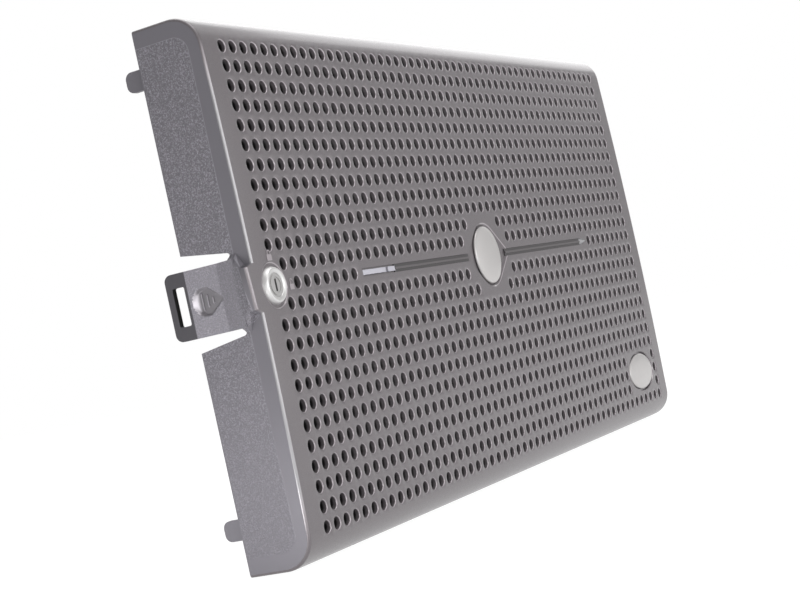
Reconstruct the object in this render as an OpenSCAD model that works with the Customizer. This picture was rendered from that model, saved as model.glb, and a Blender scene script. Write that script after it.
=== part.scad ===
// Front bezel for a 5U rack server: a perforated, slightly crowned face panel
// closed by two end caps, with a key lock and a release tab at the left end.
// Millimetres. X runs across the bezel, Y from front to back, Z up.
// The origin is the middle of the bottom edge of the rear rim.

/* [Body] */
// Width across the two end walls
body_w = 443; // [400:1:480]
// Height over the top and bottom flanges
body_h = 221; // [210:0.5:232]
// Depth from the rear rim to the edge of the face
body_d = 30.5; // [26:0.5:45]
// Thickness of the face panel and its flanges
face_t = 3.5; // [2.8:0.1:4]
// Thickness of the end walls
wall_t = 2.6; // [2:0.2:3.4]
// Height by which the middle of the face stands proud of its edges
crown = 1.3; // [0.8:0.1:2.5]
// Radius of the rolled top and bottom edges
roll_r = 13.5; // [11:0.5:16]
// Gap between the face panel and what it carries
seat_gap = 0.05; // [0.02:0.01:0.1]
// Gap between the face panel and the end walls
wall_gap = 0.02; // [0.01:0.01:0.05]

/* [Air holes] */
// Distance between hole centres
pitch = 8.1; // [7.6:0.1:8.4]
// Diameter of each air hole
hole_d = 5.1; // [4:0.1:5.8]
// Least distance of an outer hole's centre from the top or bottom
row_margin = 13; // [12:0.5:16]
// Least distance of an outer hole's centre from an end
column_margin = 14; // [13:0.5:18]

/* [Groove and indicators] */
// Height of the groove across the face
groove_h = 3.7; // [2.8:0.1:4.4]
// Depth of the groove and of the badge seats
groove_depth = 1.4; // [1:0.1:1.8]
// Length of the groove
groove_l = 271.2; // [240:0.2:290]
// Distance from the middle of the face to the groove's pointed right end
groove_right = 136.8; // [125:0.2:145]
// Length of the indicator lens
indicator_l = 22.6; // [16:0.2:30]
// Length of the activity lens
activity_l = 6.8; // [4:0.2:10]
// Width of the bridge between the two lenses
lens_bridge = 2; // [1.8:0.1:5]
// Height of both lenses
lens_h = 2.4; // [1.8:0.1:3]
// Thickness of the strip in the groove
trim_t = 0.5; // [0.4:0.1:1]
// Width of the raised line along the strip
trim_rib_w = 1; // [0.6:0.1:1.6]
// Height of the raised line over the strip
trim_rib_t = 0.5; // [0.2:0.1:0.6]

/* [Badges] */
// Diameter of the round centre badge
badge_d = 28.8; // [24:0.2:32]
// Thickness of the badges
badge_t = 1.9; // [1.4:0.1:2.6]
// Gap around the badges in their seats
badge_gap = 1.3; // [0.5:0.1:1.6]
// Length of the oval badge
oval_l = 38; // [34:0.5:42]
// Height of the oval badge
oval_h = 20.4; // [18:0.2:22]
// Distance of the oval badge from the right end wall
oval_x_inset = 39.2; // [34:0.2:60]
// Height of the oval badge's centre
oval_z = 29.5; // [26:0.5:60]
// Thickness of the adhesive pads
pad_t = 0.5; // [0.3:0.1:0.6]

/* [Lock] */
// Distance of the lock's axis from the left end wall
lock_inset = 12.9; // [12:0.1:15]
// Diameter of the lock's flange
flange_d = 15.6; // [14:0.2:17]
// Diameter of the lock's barrel
barrel_d = 12.5; // [11.6:0.1:13]
// Length of the barrel behind the flange
barrel_l = 13; // [12:0.5:15]
// Diameter of the plug that the key turns
plug_d = 9.7; // [8.6:0.1:10]
// Running clearance between plug and barrel, on the radius
plug_gap = 0.05; // [0.02:0.01:0.08]
// Height of the keyway
key_h = 5.1; // [4:0.1:6]
// Width of the keyway
key_w = 1.3; // [1:0.1:1.6]
// Reach of the cam from the lock's axis
cam_reach = 8.2; // [7:0.1:8.6]
// Thickness of the cam
cam_t = 2; // [1.4:0.1:2.6]

/* [Release tab] */
// Width of the tab
tab_w = 27.1; // [22:0.1:30]
// Distance that the tab reaches past the rear rim
tab_reach = 9; // [6:0.5:12]
// Distance of the tab's root behind the edge of the face
tab_root = 8.3; // [7:0.1:10]
// Distance of the bend in the tab behind the edge of the face
tab_bend = 15.5; // [13:0.5:20]
// Thickness of the tab
tab_t = 2.6; // [2.2:0.1:3.2]
// Distance that the tab's tip stands out from the end wall
tab_flare = 1.8; // [0.8:0.1:2.6]
// Gap that frees the tab at its root
root_gap = 0.3; // [0.2:0.05:0.5]
// Width of the slots beside the tab at their inner ends
slot_w = 2.9; // [2.4:0.1:4]
// Width of the slots beside the tab at the rear rim
slot_mouth = 6.2; // [4.4:0.1:8]
// Distance that the lock pad stands out from the end wall
pad_out = 4.5; // [3:0.1:6]
// Height of the lock pad at the face
pad_h = 18.8; // [16:0.2:22]
// Height of the catch window in the tab
window_h = 15.7; // [12:0.1:18]
// Length of the catch window in the tab
window_l = 5.3; // [4.6:0.1:6]

/* [Fastening] */
// Width of the locating tongues
tongue_w = 8.4; // [6:0.2:12]
// Distance of the locating tongues from the middle of the bezel
tongue_z = 91.4; // [80:0.2:94]
// Distance of the hooks at the right end from the middle of the bezel
hook_z = 62; // [50:1:80]
// Distance that the tongues and hooks reach past the rear rim
reach = 9.2; // [7:0.2:12]
// Shank diameter of the end cap screws
screw_d = 2.9; // [2.5:0.1:3.1]
// Outer diameter of the screw bosses
boss_d = 7; // [6:0.2:7.6]
// Height of the screw bosses
boss_h = 5; // [4:0.5:8]

/* [Hidden] */
$fn = 48;
e = 0.01;

// The body
mid_z = body_h / 2;
half_w = body_w / 2;
half_h = body_h / 2;
front_y = -body_d;
roll_z = half_h - roll_r;
face_y = front_y - crown;
back_y = face_y + face_t;

// The grid of holes, and the land kept round the centre badge
columns = 2 * floor((half_w - column_margin) / pitch + 0.5);
rows = 2 * floor((half_h - row_margin) / pitch) + 1;
centre_col = (columns - 1) / 2;
centre_row = (rows - 1) / 2;
badge_land = 4.3;

// The groove and its lenses
groove_y = face_y + groove_depth;
groove_left = groove_right - groove_l;
lens_x = groove_left + indicator_l / 2;
activity_x = groove_left + indicator_l + lens_bridge + activity_l / 2;
trim_start = groove_left + indicator_l + lens_bridge + activity_l + 0.4;
seat_d = badge_d + 2 * badge_gap;
eye_l = seat_d + 19;
lens_fit = 0.1;
lens_rim = 1.2;
lens_lip = 0.7;

// The oval badge
oval_x = half_w - oval_x_inset;
oval_mid = oval_z - mid_z;
oval_seat_l = oval_l + 2 * badge_gap;
oval_seat_h = oval_h + 2 * badge_gap;
oval_face_y = front_y - crown * (1 - pow(oval_mid / roll_z, 2));
oval_tilt = atan(2 * crown * oval_mid / (roll_z * roll_z));

// The lock
lock_x = -half_w + lock_inset;
dish_d = flange_d + 3;
dish_depth = 0.8;
flange_t = 2.1;
flange_y = face_y + dish_depth - flange_t;
lock_boss_d = barrel_d + 5.5;
lock_boss_h = 3.6;
washer_t = 0.6;
nut_t = 3;
nut_af = barrel_d + 2.5;
washer_y = back_y + lock_boss_h;
nut_y = washer_y + washer_t;
barrel_end = face_y + dish_depth + barrel_l;
plug_face = flange_y + 0.7;
tail_w = 5;
plug_end = barrel_end + 0.25;
cam_y = plug_end + seat_gap;
tail_l = cam_t;
cam_screw_l = 3.2;
cam_screw_d = 2.4;
cam_head_d = 5.4;
wafers = 5;
wafer_t = 0.8;
wafer_pitch = 2;
wafer_w = 0.52 * plug_d;
wafer_h = 0.78 * plug_d;
wafer_fit = 0.05;
spring_d = 1.1;
spring_wire = 0.3;

// The release tab
tab_z = mid_z - 0.5;
root_y = front_y + tab_root;
bend_y = front_y + tab_bend;
ramp = pad_out / tab_bend;
slot_r = slot_w / 2;
slot_y = root_y + slot_r - 0.4;
tip_r = 3;
window_r = 0.8;
window_y = tab_reach - 2.9 - window_l;
grip_y = -3.2;
grip_l = 12;
grip_r = 5.8;
grip_depth = 1.3;

// The end caps
ear_w = 11.5;
ear_h = 14;
ear_t = 2.4;
boss_x = half_w - wall_t - 5.7;
boss_z = [-85, -45, 45, 85];
ear_y = back_y + crown + boss_h;
screw_l = 7;
screw_head_d = 5.6;
screw_head_h = 2;
tongue_t = 2.4;
tongue_root = 12;
hook_w = 14;
hook_t = 3;
hook_lip = 3;

// How far the face lies in front of the rear rim at a height from its middle
function face_at(z) = front_y - crown * (1 - pow(z / roll_z, 2));

// The heights at which one flat row of the crowned face meets the next
row_edges = concat([-roll_z], [for (r = [0.5 : rows - 2.5]) (r - centre_row) * pitch], [roll_z]);

// Is the hole at this column and row left out?
function in_circle(x, z, cx, cz, r) = pow(x - cx, 2) + pow(z - cz, 2) < r * r;
function in_ellipse(x, z, cx, cz, a, b) = pow((x - cx) / a, 2) + pow((z - cz) / b, 2) < 1;
function hole_x(c) = (c - centre_col) * pitch;
function hole_z(r) = (centre_row - r) * pitch;
function left_out(x, z) =
    in_circle(x, z, lock_x, 0, dish_d / 2 + hole_d / 2)
    || (abs(z) < pitch / 2 && abs(x) < groove_right + hole_d / 2)
    || in_circle(x, z, 0, 0, seat_d / 2 + hole_d / 2 + badge_land)
    || in_ellipse(x, z, oval_x, oval_mid, oval_seat_l / 2 + hole_d / 2, oval_seat_h / 2 + hole_d / 2);

// Turns a drawing of Y and Z into a solid that runs from x0 to x1
module along_x(x0, x1) {
    translate([x0, 0, mid_z]) rotate([90, 0, 90]) linear_extrude(x1 - x0) children();
}

// Turns a drawing of X and Z into a solid that runs back from y0 to y1
module along_y(y0, y1) {
    translate([0, y1, mid_z]) rotate([90, 0, 0]) linear_extrude(y1 - y0) children();
}

// Section of the body, inset from its outside
module body_section(inset, rear) {
    crowned = [for (z = row_edges) [face_at(z) + inset, z]];
    polygon(concat([[rear, -roll_z]], crowned, [[rear, roll_z]]));
    for (s = [-1, 1])
        translate([front_y + roll_r, s * roll_z]) circle(r = roll_r - inset);
    translate([front_y + roll_r, -half_h + inset])
        square([rear - front_y - roll_r, body_h - 2 * inset]);
}

module air_holes() {
    for (c = [0 : columns - 1], r = [0 : rows - 1])
        if (!left_out(hole_x(c), hole_z(r)))
            translate([hole_x(c), back_y + 3, mid_z + hole_z(r)])
                rotate([90, 0, 0]) cylinder(d = hole_d, h = crown + face_t + 5, $fn = 20);
}

module oval(l, h) {
    scale([1, h / l]) circle(d = l);
}

// The seat of the centre badge, drawn out to a point on each side
module badge_seat() {
    circle(d = seat_d);
    polygon([
        [-eye_l / 2, 0], [-seat_d * 0.43, -seat_d * 0.24], [seat_d * 0.43, -seat_d * 0.24],
        [eye_l / 2, 0], [seat_d * 0.43, seat_d * 0.24], [-seat_d * 0.43, seat_d * 0.24]
    ]);
}

// The groove, with a pointed end
module groove() {
    translate([groove_left, -groove_h / 2]) square([groove_l - 8, groove_h]);
    polygon([
        [groove_right - 8, -groove_h / 2], [groove_right, 0], [groove_right - 8, groove_h / 2]
    ]);
}

// Front view of the pad beside the lock, level above and running out below
module pad_outline() {
    polygon([
        [-half_w + wall_t, pad_h * 0.52], [-half_w, pad_h * 0.52], [-half_w - pad_out * 1.12, pad_h * 0.45],
        [-half_w - pad_out * 0.95, 0], [-half_w - pad_out * 0.87, -pad_h * 0.3],
        [-half_w - pad_out * 0.8, -pad_h * 0.45], [-half_w, -pad_h * 0.52], [-half_w + wall_t, -pad_h * 0.52]
    ]);
}

module lens_slot(x, l) {
    translate([x, 0]) square([l, lens_h], center = true);
}

module face_panel() {
    color([0.49, 0.47, 0.47])
    difference() {
        union() {
            along_x(-half_w - 2 * pad_out + 1, half_w) difference() {
                body_section(0, 0);
                body_section(face_t, 1);
            }
            for (s = [-1, 1], z = boss_z)
                translate([s * boss_x, ear_y, mid_z + z])
                    rotate([90, 0, 0]) cylinder(d = boss_d, h = ear_y - face_at(z) - face_t + e);
            translate([lock_x, washer_y, mid_z])
                rotate([90, 0, 0]) cylinder(d = lock_boss_d, h = lock_boss_h + e);
        }
        // The face reaches past the end wall only beside the lock
        along_y(-body_d - 10, 10) difference() {
            translate([-half_w - 2 * pad_out, -half_h - 1]) square([2 * pad_out, body_h + 2]);
            pad_outline();
        }
        air_holes();
        for (s = [-1, 1], z = boss_z)
            translate([s * boss_x, ear_y + 1, mid_z + z])
                rotate([90, 0, 0]) cylinder(d = screw_d + 0.1, h = boss_h + 1.5);
        along_y(face_y - 1, groove_y) groove();
        along_y(face_y - 1, groove_y) badge_seat();
        along_y(face_y - 1, back_y + 1) {
            lens_slot(lens_x, indicator_l);
            lens_slot(activity_x, activity_l);
        }
        translate([oval_x, oval_face_y + groove_depth, mid_z + oval_mid])
            rotate([90 + oval_tilt, 0, 0]) linear_extrude(4) oval(oval_seat_l, oval_seat_h);
        translate([lock_x, face_y + dish_depth, mid_z])
            rotate([90, 0, 0]) cylinder(d = dish_d, h = 3);
        translate([lock_x, washer_y + 1, mid_z])
            rotate([90, 0, 0]) cylinder(d = barrel_d + 0.1, h = lock_boss_h + face_t + 3);
    }
}

// An end wall that fills the section of the face panel
module end_wall() {
    along_x(-half_w, -half_w + wall_t) body_section(face_t + wall_gap, 0);
}

// A lug on the end wall that rests on a screw boss, with a web at each edge
module ear(z) {
    translate([-half_w + wall_t - e, ear_y, mid_z + z - ear_h / 2])
        cube([ear_w + e, ear_t, ear_h]);
    for (s = [0, 1])
        translate([-half_w + wall_t - e, ear_y + ear_t - e, mid_z + z - ear_h / 2 + s * (ear_h - 1.6)])
            linear_extrude(1.6) polygon([[0, 0], [6, 0], [0, 9]]);
}

module ear_holes() {
    for (z = boss_z)
        translate([-boss_x, ear_y + ear_t + 1, mid_z + z])
            rotate([90, 0, 0]) cylinder(d = screw_d + 0.4, h = ear_t + 2);
}

// A tongue that stands out behind the rim, inside the end wall
module tongue(z) {
    translate([-half_w + wall_t - e, 0, mid_z + z])
        rotate([90, 0, 90]) linear_extrude(tongue_t + e) {
            translate([-tongue_root, -tongue_w / 2]) square([tongue_root + reach - 3, tongue_w]);
            translate([reach - 3 - e, -tongue_w / 2 + 3]) square([3 + e, tongue_w - 6]);
            for (s = [-1, 1])
                translate([reach - 3, s * (tongue_w / 2 - 3)]) circle(r = 3);
        }
}

// Side view of the room for the tab, with round inner ends to its two slots
module tab_room() {
    inner = tab_w / 2 + slot_w;
    outer = tab_w / 2 + slot_mouth;
    polygon([
        [slot_y, -inner], [1, -outer], [1, outer], [slot_y, inner]
    ]);
    for (s = [-1, 1])
        translate([slot_y, s * (tab_w / 2 + slot_r)]) circle(r = slot_r);
    translate([root_y, -tab_w / 2 - slot_r]) square([slot_y - root_y + e, tab_w + slot_w]);
}

// The pad that carries the tab's surface forward to the face, with sides that run out on the wall
module lock_pad() {
    pad_y = back_y + seat_gap;
    out = pad_out - ramp * tab_root;
    low = tab_z - mid_z - tab_w / 2;
    high = tab_z - mid_z + tab_w / 2;
    hull() {
        along_y(pad_y, pad_y + 0.1) intersection() {
            pad_outline();
            translate([-half_w - pad_out + ramp * (pad_y - front_y), -half_h]) square([half_w, body_h]);
        }
        along_y(root_y - 3, root_y) polygon([
            [-half_w + wall_t, high], [-half_w, high + 2], [-half_w - out, high],
            [-half_w - out, low], [-half_w, low - 2], [-half_w + wall_t, low]
        ]);
    }
}

module left_end_cap() {
    color([0.46, 0.45, 0.48])
    difference() {
        union() {
            end_wall();
            for (z = boss_z) ear(z);
            for (s = [-1, 1]) tongue(s * tongue_z);
            lock_pad();
        }
        translate([-half_w - 10, 0, tab_z])
            rotate([90, 0, 90]) linear_extrude(10 + wall_t + 1) tab_room();
        ear_holes();
        // clears the flange of the lock's boss
        translate([lock_x, root_y, mid_z])
            rotate([90, 0, 0]) cylinder(d = lock_boss_d + 0.4, h = 20);
    }
}

module right_end_cap() {
    color([0.46, 0.45, 0.48])
    mirror([1, 0, 0]) difference() {
        union() {
            end_wall();
            for (z = boss_z) ear(z);
            for (s = [-1, 1]) hook(s * hook_z);
        }
        ear_holes();
    }
}

// A hook that stands out behind the rim, with its lip turned outwards
module hook(z) {
    translate([-half_w, 0, mid_z + z - hook_w / 2]) linear_extrude(hook_w)
        polygon([
            [wall_t - e, -tongue_root], [wall_t + hook_t, -tongue_root + hook_t], [wall_t + hook_t, reach],
            [wall_t - 1, reach], [wall_t - hook_lip, reach - 2.4], [wall_t - hook_lip, reach - 4],
            [wall_t, reach - 4], [wall_t, -1], [wall_t - e, -1]
        ]);
}

// Outline of the tab seen from the side
module tab_outline() {
    start = root_y + root_gap;
    translate([start, -tab_w / 2]) square([tab_reach - tip_r - start, tab_w]);
    translate([tab_reach - tip_r - e, -tab_w / 2 + tip_r]) square([tip_r + e, tab_w - 2 * tip_r]);
    for (s = [-1, 1])
        translate([tab_reach - tip_r, s * (tab_w / 2 - tip_r)]) circle(r = tip_r);
}

// Section of the tab seen from above: down the ramp to the bend, then out to the tip
module tab_section() {
    polygon([
        [-pad_out + ramp * (tab_root - 1), root_y - 1], [0, bend_y], [-tab_flare, tab_reach + 1],
        [-tab_flare + tab_t + 0.8, tab_reach + 1], [tab_t, bend_y], [-pad_out + ramp * (tab_root - 1) + tab_t, root_y - 1]
    ]);
}

// Finger dish: a round heel that runs forward to a point
module grip_outline() {
    translate([grip_y - grip_r, 0]) circle(r = grip_r);
    polygon([
        [grip_y - grip_l, 0], [grip_y - grip_r - 1.5, -grip_r], [grip_y - grip_r - 1.5, grip_r]
    ]);
}

module release_tab() {
    lean = atan(tab_flare / (tab_reach - bend_y));
    color([0.48, 0.47, 0.49])
    difference() {
        intersection() {
            translate([-half_w, 0, tab_z - tab_w / 2]) linear_extrude(tab_w) tab_section();
            translate([-half_w - 10, 0, tab_z]) rotate([90, 0, 90]) linear_extrude(20) tab_outline();
        }
        translate([-half_w - 10, 0, tab_z]) rotate([90, 0, 90]) linear_extrude(20)
            translate([window_y, -window_h / 2]) {
                translate([window_r, 0]) square([window_l - 2 * window_r, window_h]);
                translate([0, window_r]) square([window_l, window_h - 2 * window_r]);
                for (x = [window_r, window_l - window_r], z = [window_r, window_h - window_r])
                    translate([x, z]) circle(r = window_r);
            }
        // the dish gets deeper towards its heel, between three ribs
        difference() {
            translate([-half_w, bend_y, tab_z]) rotate([0, 0, lean - 5])
                translate([-8, -bend_y, 0]) rotate([90, 0, 90]) linear_extrude(8) grip_outline();
            for (i = [0 : 2])
                translate([-half_w, bend_y, tab_z]) rotate([0, 0, lean])
                    translate([0.25, grip_y - bend_y - 2.4 - 2.7 * i, -2.6 + 0.6 * i])
                        cube([3, 0.7, 5.2 - 1.2 * i]);
        }
    }
}

module lock_body() {
    color([0.8, 0.8, 0.8])
    translate([lock_x, 0, mid_z]) rotate([-90, 0, 0]) difference() {
        rotate_extrude() {
            translate([plug_d / 2 + plug_gap, flange_y])
                square([(barrel_d - plug_d) / 2 - plug_gap, barrel_end - flange_y]);
            // the flange: a steep outer cone that turns in to the sunk plug
            polygon([
                [plug_d / 2 + plug_gap, flange_y + flange_t], [plug_d / 2 + plug_gap, flange_y + 0.6],
                [plug_d / 2 + 0.9, flange_y + 0.2], [flange_d / 2 - 1.6, flange_y],
                [flange_d / 2 - 0.9, flange_y + 0.25], [flange_d / 2 - 0.2, flange_y + 1.3],
                [flange_d / 2, flange_y + flange_t]
            ]);
        }
    }
}

module lock_washer() {
    color([0.7, 0.7, 0.7])
    translate([lock_x, washer_y + washer_t, mid_z]) rotate([90, 0, 0]) difference() {
        cylinder(d = nut_af + 0.6, h = washer_t);
        translate([0, 0, -1]) cylinder(d = barrel_d + 0.3, h = washer_t + 2);
    }
}

module lock_nut() {
    color([0.72, 0.72, 0.7])
    translate([lock_x, nut_y + nut_t, mid_z]) rotate([90, 0, 0]) difference() {
        cylinder(d = nut_af / cos(30), h = nut_t, $fn = 6);
        translate([0, 0, -1]) cylinder(d = barrel_d + 0.1, h = nut_t + 2);
    }
}

module lock_plug() {
    color([0.78, 0.78, 0.76])
    translate([lock_x, 0, mid_z]) difference() {
        union() {
            rotate([-90, 0, 0]) rotate_extrude() {
                translate([0, plug_face]) square([plug_d / 2, plug_end - plug_face]);
                // a raised ring round the keyway
                translate([plug_d / 2 - 1.6, plug_face - 0.3]) square([0.9, 0.4]);
            }
            // the square tail that drives the cam
            translate([-tail_w / 2, plug_end - e, -tail_w / 2]) cube([tail_w, tail_l + e, tail_w]);
        }
        translate([-key_w / 2, plug_face - 1, -key_h / 2])
            cube([key_w, barrel_end - 1 - plug_face, key_h]);
        for (i = [0 : wafers - 1])
            translate([0, wafer_at(i), 0]) wafer_room(wafer_fit);
        translate([0, cam_y + cam_t + 1, 0])
            rotate([90, 0, 0]) cylinder(d = cam_screw_d + 0.1, h = cam_screw_l + 1.1);
    }
}

function wafer_at(i) = plug_face + 2 + i * wafer_pitch;

// The slot of one wafer and the pocket of its spring
module wafer_room(gap) {
    translate([-wafer_w / 2 - gap, -gap, -wafer_h / 2 - gap])
        cube([wafer_w + 2 * gap, wafer_t + 2 * gap, wafer_h + 2 * gap]);
}

module key_wafers() {
    color([0.75, 0.6, 0.3])
    for (i = [0 : wafers - 1])
        translate([lock_x, wafer_at(i), mid_z]) difference() {
            wafer_room(0);
            translate([-key_w / 2 - 0.1, -1, -key_h / 2 - 0.1 + 0.2 * (i % 3)])
                cube([key_w + 0.2, wafer_t + 2, key_h - 0.2]);
            translate([wafer_w / 2 - spring_d - 0.1, -1, -wafer_h / 2 + 1])
                cube([spring_d + 1, wafer_t + 2, wafer_h - 2]);
        }
}

module wafer_springs() {
    color([0.6, 0.6, 0.6])
    for (i = [0 : wafers - 1])
        translate([lock_x + wafer_w / 2 - spring_d / 2, wafer_at(i) + wafer_t / 2, mid_z - wafer_h / 2 + 1])
            intersection() {
                difference() {
                    cylinder(d = spring_d, h = wafer_h - 2);
                    translate([0, 0, -1]) cylinder(d = spring_d - 2 * spring_wire, h = wafer_h);
                }
                translate([-1, -wafer_t / 2, -1]) cube([2, wafer_t, wafer_h]);
            }
}

module lock_cam() {
    color([0.7, 0.7, 0.68])
    translate([lock_x, cam_y + cam_t, mid_z]) rotate([90, 0, 0]) difference() {
        linear_extrude(cam_t) {
            circle(d = barrel_d - 3);
            translate([-2.6, -cam_reach + 2.6]) square([5.2, cam_reach - 2.6]);
            translate([0, -cam_reach + 2.6]) circle(r = 2.6);
        }
        translate([-tail_w / 2 - 0.05, -tail_w / 2 - 0.05, -1]) cube([tail_w + 0.1, tail_w + 0.1, cam_t + 2]);
    }
}

module cam_screw() {
    color([0.6, 0.6, 0.6])
    translate([lock_x, cam_y + cam_t, mid_z]) rotate([-90, 0, 0]) difference() {
        union() {
            cylinder(d = cam_head_d, h = 1.6);
            translate([0, 0, -cam_screw_l]) cylinder(d = cam_screw_d, h = cam_screw_l + e);
        }
        for (a = [0, 90])
            rotate(a) translate([-1.5, -0.3, 0.8]) cube([3, 0.6, 2]);
    }
}

module centre_badge() {
    color([0.86, 0.86, 0.84])
    translate([0, groove_y + seat_gap - pad_t, mid_z]) rotate([90, 0, 0])
        rotate_extrude($fn = 96) dome_section(badge_d, badge_t);
}

// Half section of a badge: a flat disc whose rim rolls over in a quarter ellipse of arcs
module dome_section(d, t) {
    square([d / 2 - t, t]);
    translate([d / 2 - t, 0]) intersection() {
        circle(r = t);
        square(t);
    }
}

module centre_badge_pad() {
    color([0.2, 0.2, 0.2])
    translate([0, groove_y, mid_z]) rotate([90, 0, 0]) cylinder(d = badge_d - 4, h = pad_t - seat_gap);
}

module oval_badge() {
    color([0.86, 0.86, 0.84])
    translate([oval_x, oval_face_y + groove_depth - pad_t, mid_z + oval_mid])
        rotate([90 + oval_tilt, 0, 0]) {
            linear_extrude(badge_t - 0.7) oval(oval_l, oval_h);
            linear_extrude(badge_t) oval(oval_l - 1.6, oval_h - 1.6);
        }
}

module oval_badge_pad() {
    color([0.2, 0.2, 0.2])
    translate([oval_x, oval_face_y + groove_depth, mid_z + oval_mid])
        rotate([90 + oval_tilt, 0, 0]) linear_extrude(pad_t - seat_gap) oval(oval_l - 4, oval_h - 4);
}

// A strip in the groove with a raised line along its middle
module groove_trim(start, end) {
    along_y(groove_y - trim_t, groove_y)
        translate([start, -groove_h / 2 + lens_fit]) square([end - start, groove_h - 2 * lens_fit]);
    along_y(groove_y - trim_t - trim_rib_t, groove_y)
        translate([start, -trim_rib_w / 2]) square([end - start, trim_rib_w]);
}

module groove_trim_left() {
    color([0.3, 0.3, 0.31]) groove_trim(trim_start, -eye_l / 2 + 3);
}

module groove_trim_right() {
    color([0.3, 0.3, 0.31]) groove_trim(eye_l / 2 - 3, groove_right - 8.5);
}

// A clear lens in its slot, with a rim behind the face that stops it coming out
module lens(x, l) {
    color([0.85, 0.9, 0.95])
    translate([x, 0, mid_z]) {
        translate([-l / 2 + lens_fit, face_y + 0.4, -lens_h / 2 + lens_fit])
            cube([l - 2 * lens_fit, face_t - 0.4 + seat_gap + e, lens_h - 2 * lens_fit]);
        translate([-l / 2 - lens_lip, back_y + seat_gap, -lens_h / 2 - lens_lip])
            cube([l + 2 * lens_lip, lens_rim, lens_h + 2 * lens_lip]);
    }
}

module indicator_lens() {
    lens(lens_x, indicator_l);
}

module activity_lens() {
    lens(activity_x, activity_l);
}

// Pan-head screws that hold an end cap on the four bosses
module cap_screws() {
    color([0.25, 0.25, 0.26])
    for (z = boss_z)
        translate([-boss_x, ear_y + ear_t, mid_z + z]) rotate([-90, 0, 0]) difference() {
            union() {
                cylinder(d = screw_head_d, h = screw_head_h);
                translate([0, 0, -screw_l]) cylinder(d = screw_d, h = screw_l + e);
            }
            for (a = [0, 90])
                rotate(a) translate([-1.6, -0.35, screw_head_h - 1]) cube([3.2, 0.7, 2]);
        }
}

module left_cap_screws() {
    cap_screws();
}

module right_cap_screws() {
    mirror([1, 0, 0]) cap_screws();
}

face_panel();
left_end_cap();
right_end_cap();
release_tab();
lock_body();
lock_washer();
lock_nut();
lock_plug();
lock_cam();
cam_screw();
key_wafers();
wafer_springs();
centre_badge();
centre_badge_pad();
oval_badge();
oval_badge_pad();
groove_trim_left();
groove_trim_right();
indicator_lens();
activity_lens();
left_cap_screws();
right_cap_screws();
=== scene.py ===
"""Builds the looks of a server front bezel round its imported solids.

Every piece is in metres, in the frame of the solids: X to the right, Y to the back, Z up.
The face panel is modelled flat, as x, s along its section and n out of its surface, and then
bent to its section: a crowned face between two rolled edges and two flanges.
"""

import math

import bmesh
import bpy
from bpy.props import FloatProperty, FloatVectorProperty, PointerProperty
from mathutils import Matrix, Vector


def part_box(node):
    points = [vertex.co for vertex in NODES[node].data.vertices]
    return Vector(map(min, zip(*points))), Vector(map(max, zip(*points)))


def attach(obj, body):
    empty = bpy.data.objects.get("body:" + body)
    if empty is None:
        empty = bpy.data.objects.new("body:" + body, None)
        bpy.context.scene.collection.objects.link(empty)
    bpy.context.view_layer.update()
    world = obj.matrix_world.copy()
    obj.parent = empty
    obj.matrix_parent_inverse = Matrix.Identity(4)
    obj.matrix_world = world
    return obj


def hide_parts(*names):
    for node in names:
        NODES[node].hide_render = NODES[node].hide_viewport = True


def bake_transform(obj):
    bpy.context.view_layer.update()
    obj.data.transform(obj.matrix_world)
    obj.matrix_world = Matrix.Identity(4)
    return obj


bl_info = {
    "name": "Server bezel dressing",
    "version": (1, 0, 0),
    "blender": (4, 5, 0),
    "location": "View3D > Sidebar > Bezel",
    "description": "Dresses the solids of a server front bezel",
    "category": "Object",
}

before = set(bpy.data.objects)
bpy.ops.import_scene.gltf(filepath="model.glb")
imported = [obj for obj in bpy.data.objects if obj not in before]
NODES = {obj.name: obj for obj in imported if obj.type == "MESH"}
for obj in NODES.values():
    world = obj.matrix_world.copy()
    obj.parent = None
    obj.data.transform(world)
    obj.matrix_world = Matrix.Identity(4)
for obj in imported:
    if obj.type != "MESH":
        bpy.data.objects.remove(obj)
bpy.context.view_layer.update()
MM = 0.001


def size_of(node):
    """Lowest corner, highest corner and middle of a solid."""
    low, high = (Vector(corner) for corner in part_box(node))
    return low, high, (low + high) / 2


PANEL_LOW, PANEL_HIGH, _ = size_of("face_panel")
LOCK_LOW, LOCK_HIGH, LOCK = size_of("lock_body")
TAB_LOW, TAB_HIGH, TAB = size_of("release_tab")
ROUND_LOW, ROUND_HIGH, ROUND = size_of("centre_badge")
OVAL_LOW, OVAL_HIGH, OVAL = size_of("oval_badge")
CAP_LOW, CAP_HIGH, _ = size_of("left_end_cap")
LENSES = size_of("indicator_lens"), size_of("activity_lens")

HALF_W = PANEL_HIGH.x
HALF_H = PANEL_HIGH.z / 2
MID_Z = HALF_H
WALL = 3.5 * MM
ROLL = 13.5 * MM
CROWN = 1.3 * MM
FRONT_Y = PANEL_LOW.y + CROWN
ROLL_START = HALF_H - ROLL
FLANGE_START = ROLL_START + ROLL * math.pi / 2
SECTION_END = FLANGE_START - FRONT_Y - ROLL
PITCH = 8.1 * MM
COLUMNS = 52
ROWS = 25
HOLE = 2.55 * MM
LIP = 0.5 * MM
FILLET = 1.3 * MM
PAD_H = 18.8 * MM
PAD_OUT = (-PANEL_LOW.x - HALF_W) / 1.12
# Front view of the pad beside the lock: height above its middle and reach past the end wall
PAD = ((0.52, 0.0), (0.45, 1.12), (0.0, 0.95), (-0.3, 0.87), (-0.45, 0.8), (-0.52, 0.0))
RAMP = 4.5 / 15.5
LENS_LIP = 0.7 * MM
GROOVE_LEFT = LENSES[0][0].x + LENS_LIP
GROOVE_RIGHT = size_of("groove_trim_right")[1].x + 8.5 * MM
GROOVE_H = 3.7 * MM
SEAT_DEPTH = 1.4 * MM
SEAT_R = 15.7 * MM
EYE_HALF = 25.2 * MM


# Shader maths


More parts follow.
